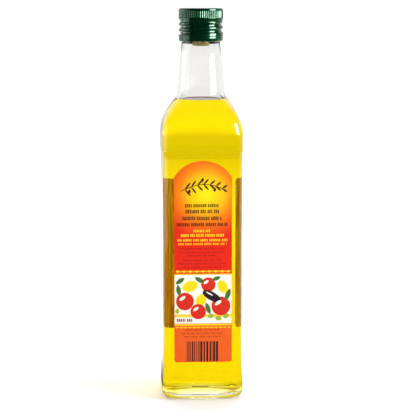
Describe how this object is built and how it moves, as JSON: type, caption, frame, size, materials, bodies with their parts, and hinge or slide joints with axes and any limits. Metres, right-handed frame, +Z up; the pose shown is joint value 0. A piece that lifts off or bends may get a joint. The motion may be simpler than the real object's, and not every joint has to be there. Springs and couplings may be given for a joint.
{
  "type": "olive oil bottle",
  "caption": "Shut square glass bottle filled with olive oil to its neck, with a threaded metal screw cap and paper labels on its front and back panels.",
  "frame": {"origin": "centre of the base, on the surface that the bottle stands on", "axes": "+Z up along the bottle's axis, the front label faces -Y, +X to the right of the front"},
  "size_m": [0.056, 0.056, 0.272],
  "materials": {
    "clear_glass": "clear, smooth",
    "olive_oil": "clear golden yellow oil",
    "green_metal": "dark green lacquer, glossy",
    "amber_plastic": "amber, half gloss",
    "front_label_paper": "coated paper, printed in red, orange and yellow",
    "back_label_paper": "coated paper, orange brown"
  },
  "bodies": {
    "root": {"bottle_glass": "clear_glass", "olive_oil": "olive_oil", "screw_cap": "green_metal", "tamper_band": "green_metal", "pour_insert": "amber_plastic", "front_label": "front_label_paper", "back_label": "back_label_paper"}
  },
  "joints": []
}
